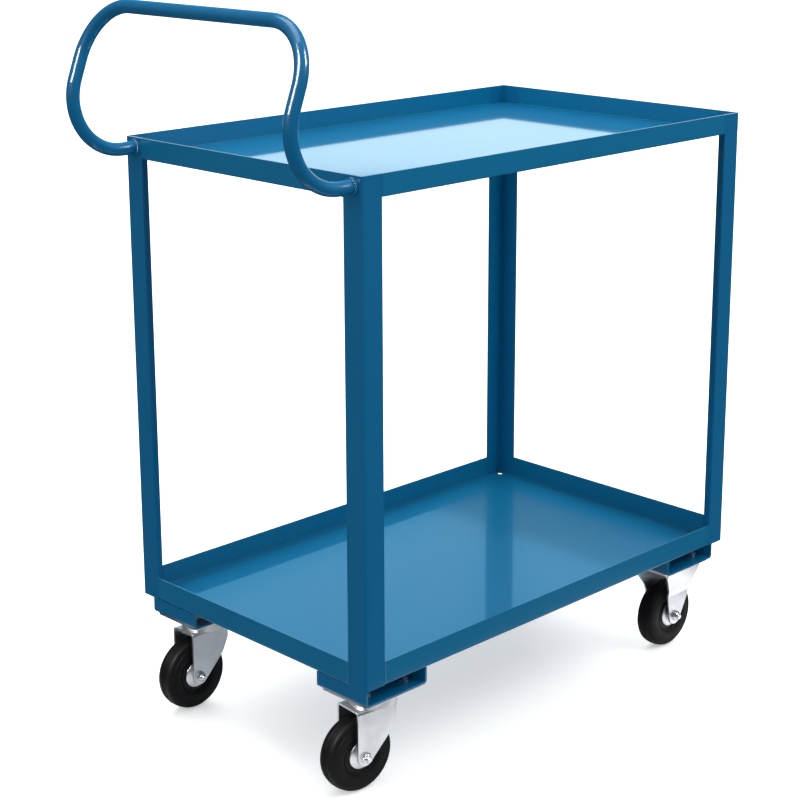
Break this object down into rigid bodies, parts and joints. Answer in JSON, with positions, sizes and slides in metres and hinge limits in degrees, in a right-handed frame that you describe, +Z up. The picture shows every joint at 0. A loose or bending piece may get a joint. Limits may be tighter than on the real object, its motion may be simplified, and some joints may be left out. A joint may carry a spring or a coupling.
{
  "type": "platform trolley",
  "caption": "Two-tray steel platform trolley with angle legs, a bent tube push handle, swivel casters at the push end and rigid casters at the nose.",
  "frame": {"origin": "on the floor, at the middle of the footprint of the whole trolley, handle included", "axes": "+Z up, +X from the push handle towards the nose, +Y to the left of a person pushing"},
  "size_m": [1.0409, 0.5608, 1.224],
  "materials": {
    "frame_blue_paint": "glossy powder coat",
    "zinc_pressing": "bright zinc plate on pressed steel",
    "zinc_fastener": "bright zinc plate",
    "bearing_steel": "ground, greased",
    "black_rubber": "moulded, semi-matt",
    "core_plastic": "moulded",
    "seal_plastic": "moulded"
  },
  "bodies": {
    "trolley_frame": {"top_tray": "frame_blue_paint", "lower_tray": "frame_blue_paint", "tray_weld_beads": "frame_blue_paint", "handle_tube": "frame_blue_paint", "handle_weld_beads": "frame_blue_paint", "bracket_weld_beads": "frame_blue_paint", "leg_push_right": "frame_blue_paint", "bracket_push_right": "frame_blue_paint", "leg_push_left": "frame_blue_paint", "bracket_push_left": "frame_blue_paint", "leg_nose_right": "frame_blue_paint", "bracket_nose_right": "frame_blue_paint", "leg_nose_left": "frame_blue_paint", "bracket_nose_left": "frame_blue_paint", "mounting_bolts": "zinc_fastener", "mounting_lock_washers": "zinc_fastener", "mounting_nuts": "zinc_fastener", "kingpins": "zinc_fastener", "kingpin_nuts": "zinc_fastener", "rigid_axle_bolts": "zinc_fastener", "rigid_axle_nuts": "zinc_fastener", "rigid_axle_sleeves": "bearing_steel", "swivel_plate_push_right": "zinc_pressing", "swivel_plate_push_left": "zinc_pressing", "rigid_fork_nose_right": "zinc_pressing", "rigid_fork_nose_left": "zinc_pressing"},
    "swivel_push_right": {"swivel_fork_push_right": "zinc_pressing", "swivel_balls_push_right": "bearing_steel", "dust_ring_push_right": "seal_plastic", "axle_bolt_push_right": "zinc_fastener", "axle_nut_push_right": "zinc_fastener", "axle_sleeve_push_right": "bearing_steel"},
    "swivel_push_left": {"swivel_fork_push_left": "zinc_pressing", "swivel_balls_push_left": "bearing_steel", "dust_ring_push_left": "seal_plastic", "axle_bolt_push_left": "zinc_fastener", "axle_nut_push_left": "zinc_fastener", "axle_sleeve_push_left": "bearing_steel"},
    "wheel_push_right": {"tyre_push_right": "black_rubber", "wheel_core_push_right": "core_plastic", "hub_discs_push_right": "zinc_pressing", "rollers_push_right": "bearing_steel"},
    "wheel_push_left": {"tyre_push_left": "black_rubber", "wheel_core_push_left": "core_plastic", "hub_discs_push_left": "zinc_pressing", "rollers_push_left": "bearing_steel"},
    "wheel_nose_right": {"tyre_nose_right": "black_rubber", "wheel_core_nose_right": "core_plastic", "hub_discs_nose_right": "zinc_pressing", "rollers_nose_right": "bearing_steel"},
    "wheel_nose_left": {"tyre_nose_left": "black_rubber", "wheel_core_nose_left": "core_plastic", "hub_discs_nose_left": "zinc_pressing", "rollers_nose_left": "bearing_steel"}
  },
  "joints": [
    {"name": "swivel_turn_push_right", "type": "hinge", "parent": "trolley_frame", "child": "swivel_push_right", "pos_m": [-0.32875, -0.2235, 0.15], "axis": [0, 0, 1], "continuous": true},
    {"name": "swivel_turn_push_left", "type": "hinge", "parent": "trolley_frame", "child": "swivel_push_left", "pos_m": [-0.32875, 0.1955, 0.15], "axis": [0, 0, 1], "continuous": true},
    {"name": "wheel_roll_push_right", "type": "hinge", "parent": "swivel_push_right", "child": "wheel_push_right", "pos_m": [-0.36256, -0.21995, 0.0625], "axis": [0.1045, 0.9945, 0], "continuous": true},
    {"name": "wheel_roll_push_left", "type": "hinge", "parent": "swivel_push_left", "child": "wheel_push_left", "pos_m": [-0.36275, 0.1955, 0.0625], "axis": [0, 1, 0], "continuous": true},
    {"name": "wheel_roll_nose_right", "type": "hinge", "parent": "trolley_frame", "child": "wheel_nose_right", "pos_m": [0.42425, -0.2235, 0.0625], "axis": [0, 1, 0], "continuous": true},
    {"name": "wheel_roll_nose_left", "type": "hinge", "parent": "trolley_frame", "child": "wheel_nose_left", "pos_m": [0.42425, 0.1955, 0.0625], "axis": [0, 1, 0], "continuous": true}
  ]
}
